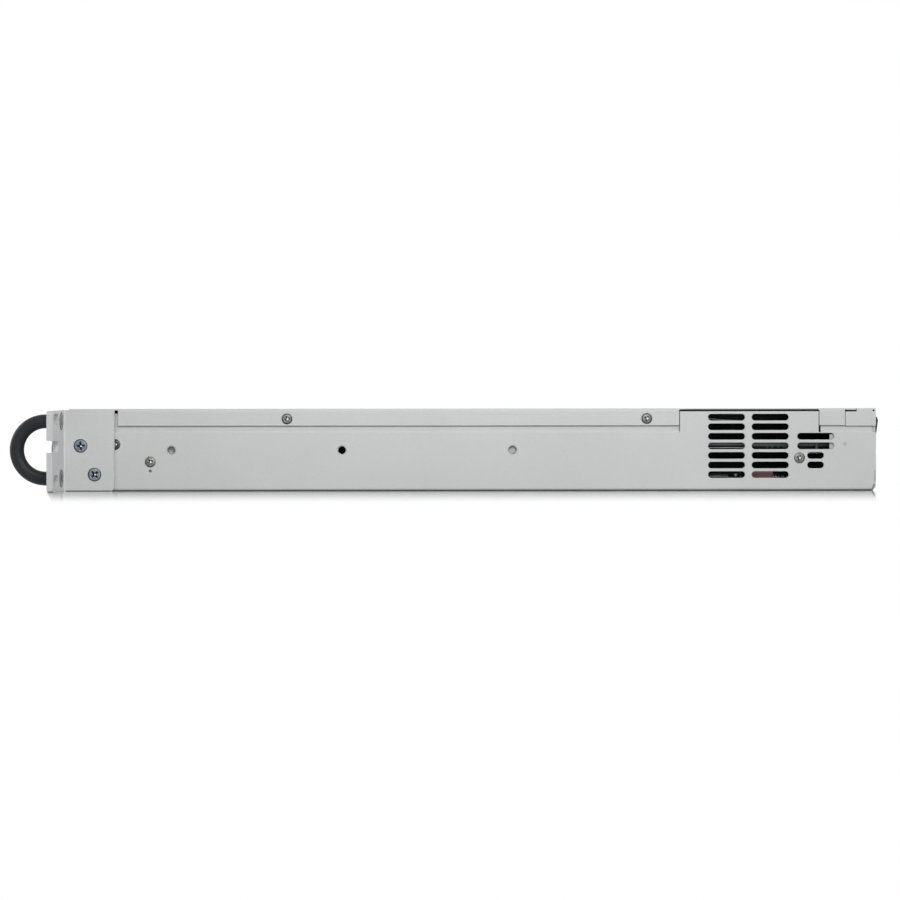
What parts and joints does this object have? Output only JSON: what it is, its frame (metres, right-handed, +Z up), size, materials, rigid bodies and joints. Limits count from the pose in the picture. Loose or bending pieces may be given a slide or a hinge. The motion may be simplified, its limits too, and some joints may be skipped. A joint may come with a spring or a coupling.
{
  "type": "programmable dc power supply",
  "caption": "Low rack-mount bench supply: wide flat vented steel case with rack ears, front D-handles, dials and display, rear output bars.",
  "frame": {"origin": "middle of the flat underside, half way between the rack ears' front faces and the rear panel", "axes": "+Z up, the front panel faces -Y, the rear panel faces +Y, +X is the right side seen from the front, which the picture shows"},
  "size_m": [0.4826, 0.4939, 0.0436],
  "materials": {
    "case_paint": "fine matte light grey powder coat",
    "ear_paint": "fine matte light grey powder coat",
    "bezel": "matte moulded light grey",
    "inner_steel": "zinc plated sheet",
    "handle": "satin charcoal",
    "zinc": "blue zinc plate",
    "case_screw": "zinc plate",
    "black_plastic": "fine matte black",
    "fan": "glass filled black",
    "button": "satin mid grey",
    "shaft": "turned steel",
    "encoder": "moulded",
    "window": "smoked acrylic",
    "display": "dark grey",
    "lamp": "clear light pipe",
    "board": "dark green solder resist",
    "heat_sink": "black anodised",
    "ferrite": "ferrite and tape",
    "winding": "enamelled copper",
    "capacitor": "sleeved can",
    "film": "brown dipped",
    "bar": "nickel plate",
    "shell": "bright plate"
  },
  "bodies": {
    "case": {"base_chassis": "case_paint", "top_cover": "case_paint", "rear_panel": "case_paint", "rack_ear_right": "ear_paint", "rack_ear_left": "ear_paint", "front_bezel": "bezel", "front_subpanel": "inner_steel", "handle_right": "handle", "handle_left": "handle", "handle_screws": "zinc", "ear_screws": "zinc", "slide_nuts": "zinc", "board_standoffs": "zinc", "case_screws": "case_screw", "power_switch_frame": "black_plastic", "sense_plug": "black_plastic", "ac_inlet": "black_plastic", "bar_insulator": "black_plastic", "fan_frame_1": "fan", "fan_frame_2": "fan", "fan_frame_3": "fan", "fan_frame_4": "fan", "voltage_encoder": "encoder", "current_encoder": "encoder", "tact_switches": "encoder", "display_window": "window", "voltage_display": "display", "current_display": "display", "indicator_lamps": "lamp", "front_board": "board", "main_board": "board", "input_heatsink": "heat_sink", "output_heatsink": "heat_sink", "main_transformer": "ferrite", "output_choke": "winding", "bulk_capacitors": "capacitor", "film_capacitor": "film", "output_bar_positive": "bar", "output_bar_negative": "bar", "inlet_pins": "bar", "analog_connector": "shell", "usb_socket": "shell", "lan_jack": "shell", "ground_stud": "shell"},
    "rocker": {"power_rocker": "black_plastic"},
    "voltage_control": {"voltage_knob": "black_plastic", "voltage_shaft": "shaft"},
    "current_control": {"current_knob": "black_plastic", "current_shaft": "shaft"},
    "fold_key": {"fold_button": "button"},
    "remote_key": {"remote_button": "button"},
    "output_key": {"output_button": "button"},
    "fine_key": {"fine_button": "button"},
    "limit_key": {"limit_button": "button"},
    "protect_key": {"protect_button": "button"},
    "fan_1": {"fan_rotor_1": "fan"},
    "fan_2": {"fan_rotor_2": "fan"},
    "fan_3": {"fan_rotor_3": "fan"},
    "fan_4": {"fan_rotor_4": "fan"}
  },
  "joints": [
    {"name": "power_rocker_tilt", "type": "hinge", "parent": "case", "child": "rocker", "pos_m": [-0.19, -0.2194, 0.0218], "axis": [1, 0, 0], "range_deg": [-16, 0]},
    {"name": "voltage_knob_turn", "type": "hinge", "parent": "case", "child": "voltage_control", "pos_m": [0.02, -0.2209, 0.0218], "axis": [0, 1, 0], "continuous": true},
    {"name": "current_knob_turn", "type": "hinge", "parent": "case", "child": "current_control", "pos_m": [0.144, -0.2209, 0.0218], "axis": [0, 1, 0], "continuous": true},
    {"name": "fold_press", "type": "slide", "parent": "case", "child": "fold_key", "axis": [0, 1, 0], "range_m": [0, 0.0008], "stiffness_N_per_m": 1500},
    {"name": "remote_press", "type": "slide", "parent": "case", "child": "remote_key", "axis": [0, 1, 0], "range_m": [0, 0.0008], "stiffness_N_per_m": 1500},
    {"name": "output_press", "type": "slide", "parent": "case", "child": "output_key", "axis": [0, 1, 0], "range_m": [0, 0.0008], "stiffness_N_per_m": 1500},
    {"name": "fine_press", "type": "slide", "parent": "case", "child": "fine_key", "axis": [0, 1, 0], "range_m": [0, 0.0008], "stiffness_N_per_m": 1500},
    {"name": "limit_press", "type": "slide", "parent": "case", "child": "limit_key", "axis": [0, 1, 0], "range_m": [0, 0.0008], "stiffness_N_per_m": 1500},
    {"name": "protect_press", "type": "slide", "parent": "case", "child": "protect_key", "axis": [0, 1, 0], "range_m": [0, 0.0008], "stiffness_N_per_m": 1500},
    {"name": "fan_1_spin", "type": "hinge", "parent": "case", "child": "fan_1", "pos_m": [-0.15, -0.2127, 0.0212], "axis": [0, 1, 0], "continuous": true},
    {"name": "fan_2_spin", "type": "hinge", "parent": "case", "child": "fan_2", "pos_m": [-0.108, -0.2127, 0.0212], "axis": [0, 1, 0], "continuous": true},
    {"name": "fan_3_spin", "type": "hinge", "parent": "case", "child": "fan_3", "pos_m": [-0.066, -0.2127, 0.0212], "axis": [0, 1, 0], "continuous": true},
    {"name": "fan_4_spin", "type": "hinge", "parent": "case", "child": "fan_4", "pos_m": [-0.024, -0.2127, 0.0212], "axis": [0, 1, 0], "continuous": true}
  ]
}
